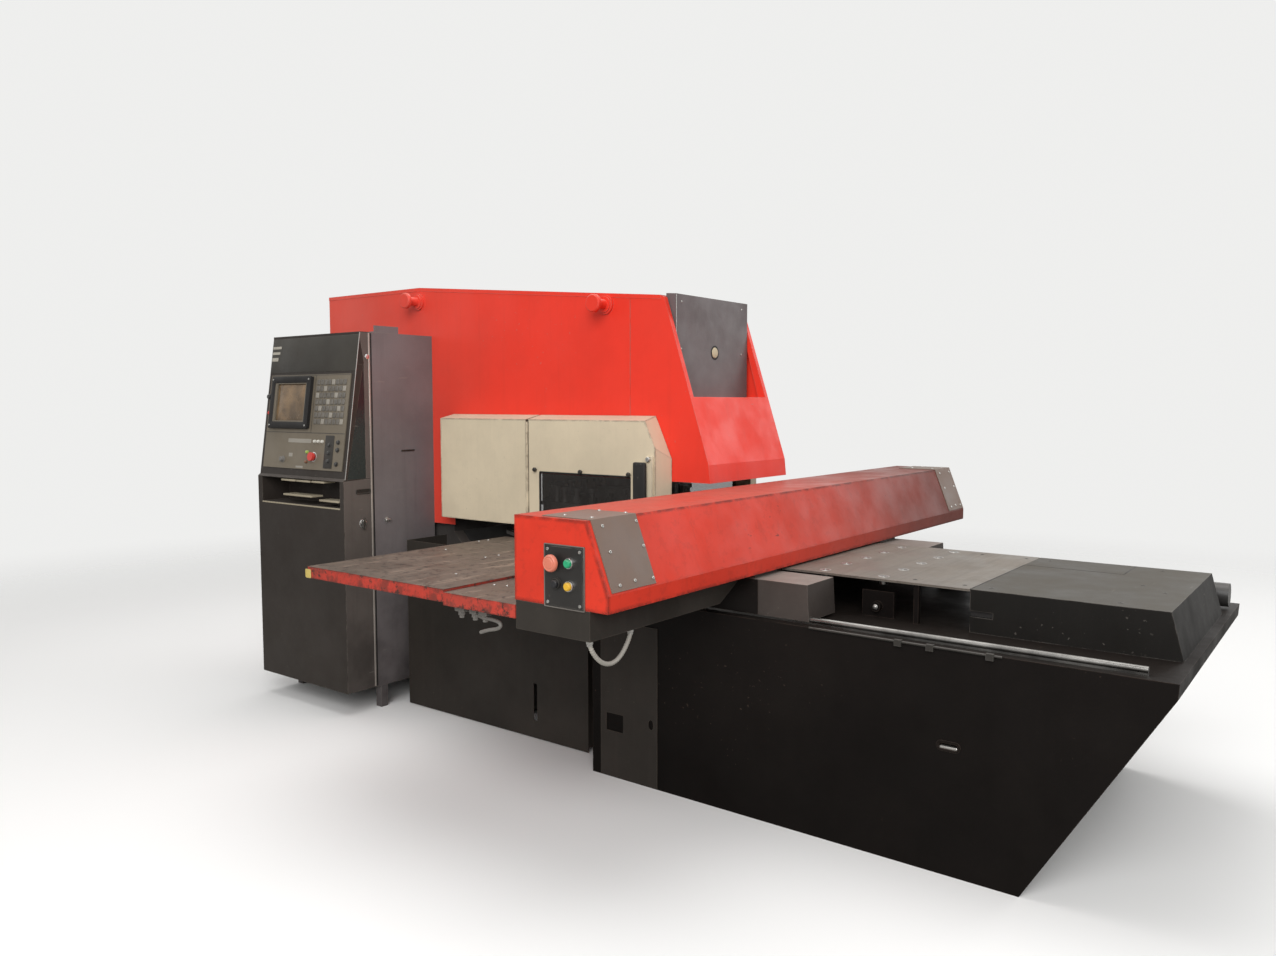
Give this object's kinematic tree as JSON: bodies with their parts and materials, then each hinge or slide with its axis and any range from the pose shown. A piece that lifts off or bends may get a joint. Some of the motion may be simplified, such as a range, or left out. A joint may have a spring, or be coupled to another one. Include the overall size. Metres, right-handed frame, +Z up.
{
  "type": "cnc_turret_punch_press",
  "caption": "Turret punch press with a C frame arm, round tool turrets, a bridge beam carriage with sheet clamps, travelling side tables and a console cabinet",
  "frame": {"origin": "on the floor below the punching station, at the middle of the frame's floor pad", "axes": "+Y runs along the arm to the rear, +X along the carriage beam, +Z up"},
  "size_m": [3.034, 4.328, 2.092],
  "materials": {
    "red_paint": "satin, dusty",
    "cream_paint": "satin, dusty",
    "grey_brown_paint": "satin, worn",
    "black_paint": "satin, scuffed",
    "motor_paint": "satin",
    "frame_paint": "matt",
    "steel_plate": "dull, dusty",
    "ground_steel": "ground",
    "table_steel": "weathered",
    "cast_steel": "machined",
    "black_plastic": "matt",
    "red_plastic": "gloss",
    "green_plastic": "gloss",
    "yellow_plastic": "gloss",
    "belt_rubber": "matt",
    "conduit_skin": "ribbed",
    "window_sheet": "tinted, dusty",
    "panel_paint": "satin",
    "bright_metal": "bright",
    "gear_grey": "matt"
  },
  "bodies": {
    "frame": {"c_frame": "frame_paint", "front_bed": "black_paint", "lower_side_panels": "black_paint", "leveling_feet": "cast_steel", "centre_plate": "steel_plate", "ball_transfers": "ground_steel", "front_cover": "grey_brown_paint", "y_rails": "ground_steel", "oil_line": "steel_plate", "arm_side_covers": "red_paint", "arm_top_cover": "red_paint", "nose_cover": "red_paint", "head_front_panel": "grey_brown_paint", "lifting_bosses": "red_paint", "left_turret_guard": "cream_paint", "right_turret_guard": "cream_paint", "main_motor": "motor_paint", "drive_belts": "belt_rubber", "axis_servos": "black_plastic", "turret_chains": "cast_steel", "cabinet_body": "grey_brown_paint", "control_gear": "gear_grey"},
    "crank": {"crank_shaft": "ground_steel", "flywheel": "cast_steel"},
    "pulley": {"motor_pulley": "cast_steel"},
    "ram": {"ram": "ground_steel", "connecting_rod": "cast_steel"},
    "upper_turret": {"upper_turret": "cast_steel", "punches": "ground_steel"},
    "lower_turret": {"lower_turret": "cast_steel", "dies": "ground_steel"},
    "station_punch": {"station_punch": "ground_steel"},
    "turret_drive": {"turret_drive_shaft": "cast_steel"},
    "y_screw": {"y_screw": "ground_steel"},
    "y_carriage": {"beam_cover": "red_paint", "beam_frame": "frame_paint", "saddle_plates": "table_steel", "lower_box": "black_paint", "conduit_loop": "conduit_skin", "side_tables": "table_steel", "guide_blocks": "cast_steel", "button_panel": "black_paint", "x_rails": "ground_steel", "x_servo": "black_plastic"},
    "x_screw": {"x_screw": "ground_steel"},
    "x_carriage": {"x_carriage": "steel_plate"},
    "left_jaw": {"left_jaw": "steel_plate"},
    "right_jaw": {"right_jaw": "steel_plate"},
    "stop_button": {"stop_button": "red_plastic"},
    "start_button": {"start_button": "green_plastic"},
    "mode_button": {"mode_button": "black_plastic"},
    "reset_button": {"reset_button": "yellow_plastic"},
    "left_door": {"left_turret_door": "cream_paint", "left_window": "window_sheet"},
    "right_door": {"right_turret_door": "cream_paint", "right_window": "window_sheet"},
    "console": {"console_door": "grey_brown_paint", "console_panel": "panel_paint"},
    "console_stop": {"console_stop": "red_plastic"},
    "latch": {"door_latch": "bright_metal"}
  },
  "joints": [
    {"name": "y_travel", "type": "slide", "parent": "frame", "child": "y_carriage", "axis": [0, 1, 0], "range_m": [-0.77, 0.12]},
    {"name": "y_screw_turn", "type": "hinge", "parent": "frame", "child": "y_screw", "pos_m": [0.545, -1.2, 0.785], "axis": [0, 1, 0], "range_deg": [-13900, 2200]},
    {"name": "x_travel", "type": "slide", "parent": "y_carriage", "child": "x_carriage", "axis": [1, 0, 0], "range_m": [-0.75, 0.75]},
    {"name": "x_screw_turn", "type": "hinge", "parent": "y_carriage", "child": "x_screw", "pos_m": [0, -0.54, 1.0085], "axis": [1, 0, 0], "range_deg": [-13540, 13540]},
    {"name": "left_jaw_lift", "type": "hinge", "parent": "x_carriage", "child": "left_jaw", "pos_m": [-0.3, -0.38, 0.926], "axis": [1, 0, 0], "range_deg": [0, 8]},
    {"name": "right_jaw_lift", "type": "hinge", "parent": "x_carriage", "child": "right_jaw", "pos_m": [0.3, -0.38, 0.926], "axis": [1, 0, 0], "range_deg": [0, 8]},
    {"name": "turret_turn", "type": "hinge", "parent": "frame", "child": "upper_turret", "pos_m": [0, 0.32, 0.976], "axis": [0, 0, 1], "continuous": true},
    {"name": "lower_turret_turn", "type": "hinge", "parent": "frame", "child": "lower_turret", "pos_m": [0, 0.32, 0.831], "axis": [0, 0, 1], "continuous": true},
    {"name": "turret_drive_turn", "type": "hinge", "parent": "frame", "child": "turret_drive", "pos_m": [0, 1.01, 0.8], "axis": [0, 0, 1], "continuous": true},
    {"name": "crank_turn", "type": "hinge", "parent": "frame", "child": "crank", "pos_m": [0, 1, 1.65], "axis": [0, 1, 0], "continuous": true},
    {"name": "pulley_turn", "type": "hinge", "parent": "frame", "child": "pulley", "pos_m": [0, 1.94, 0.96], "axis": [0, 1, 0], "continuous": true},
    {"name": "ram_stroke", "type": "slide", "parent": "frame", "child": "ram", "axis": [0, 0, 1], "range_m": [-0.028, 0]},
    {"name": "punch_stroke", "type": "slide", "parent": "upper_turret", "child": "station_punch", "axis": [0, 0, 1], "range_m": [-0.0281, 0.0001]},
    {"name": "left_door_swing", "type": "hinge", "parent": "frame", "child": "left_door", "pos_m": [-0.414, 0.543, 1.18], "axis": [0, 0, -1], "range_deg": [0, 100]},
    {"name": "right_door_swing", "type": "hinge", "parent": "frame", "child": "right_door", "pos_m": [0.414, 0.543, 1.18], "axis": [0, 0, 1], "range_deg": [0, 100]},
    {"name": "console_swing", "type": "hinge", "parent": "frame", "child": "console", "pos_m": [-0.704, 2.018, 0.95], "axis": [0, 0, -1], "range_deg": [0, 90]},
    {"name": "latch_turn", "type": "hinge", "parent": "console", "child": "latch", "pos_m": [-0.765, 1.29, 0.925], "axis": [0, -1, 0], "range_deg": [0, 90]},
    {"name": "stop_press", "type": "slide", "parent": "y_carriage", "child": "stop_button", "axis": [1, 0, 0], "range_m": [0, 0.005], "stiffness_N_per_m": 600, "springref_m": -0.002},
    {"name": "start_press", "type": "slide", "parent": "y_carriage", "child": "start_button", "axis": [1, 0, 0], "range_m": [0, 0.005], "stiffness_N_per_m": 600, "springref_m": -0.002},
    {"name": "mode_press", "type": "slide", "parent": "y_carriage", "child": "mode_button", "axis": [1, 0, 0], "range_m": [0, 0.005], "stiffness_N_per_m": 600, "springref_m": -0.002},
    {"name": "reset_press", "type": "slide", "parent": "y_carriage", "child": "reset_button", "axis": [1, 0, 0], "range_m": [0, 0.005], "stiffness_N_per_m": 600, "springref_m": -0.002},
    {"name": "console_stop_press", "type": "slide", "parent": "console", "child": "console_stop", "axis": [0.9898, 0, -0.1422], "range_m": [0, 0.004], "stiffness_N_per_m": 600, "springref_m": -0.002}
  ],
  "couplings": [
    {"joint": "y_screw_turn", "follows": "y_travel", "rad_per_m": 314.16},
    {"joint": "x_screw_turn", "follows": "x_travel", "rad_per_m": 314.16},
    {"joint": "right_jaw_lift", "follows": "left_jaw_lift", "ratio": 1},
    {"joint": "lower_turret_turn", "follows": "turret_turn", "ratio": 1},
    {"joint": "turret_drive_turn", "follows": "turret_turn", "ratio": 7.24},
    {"joint": "pulley_turn", "follows": "crank_turn", "ratio": 4},
    {"joint": "punch_stroke", "follows": "ram_stroke", "ratio": 1}
  ]
}
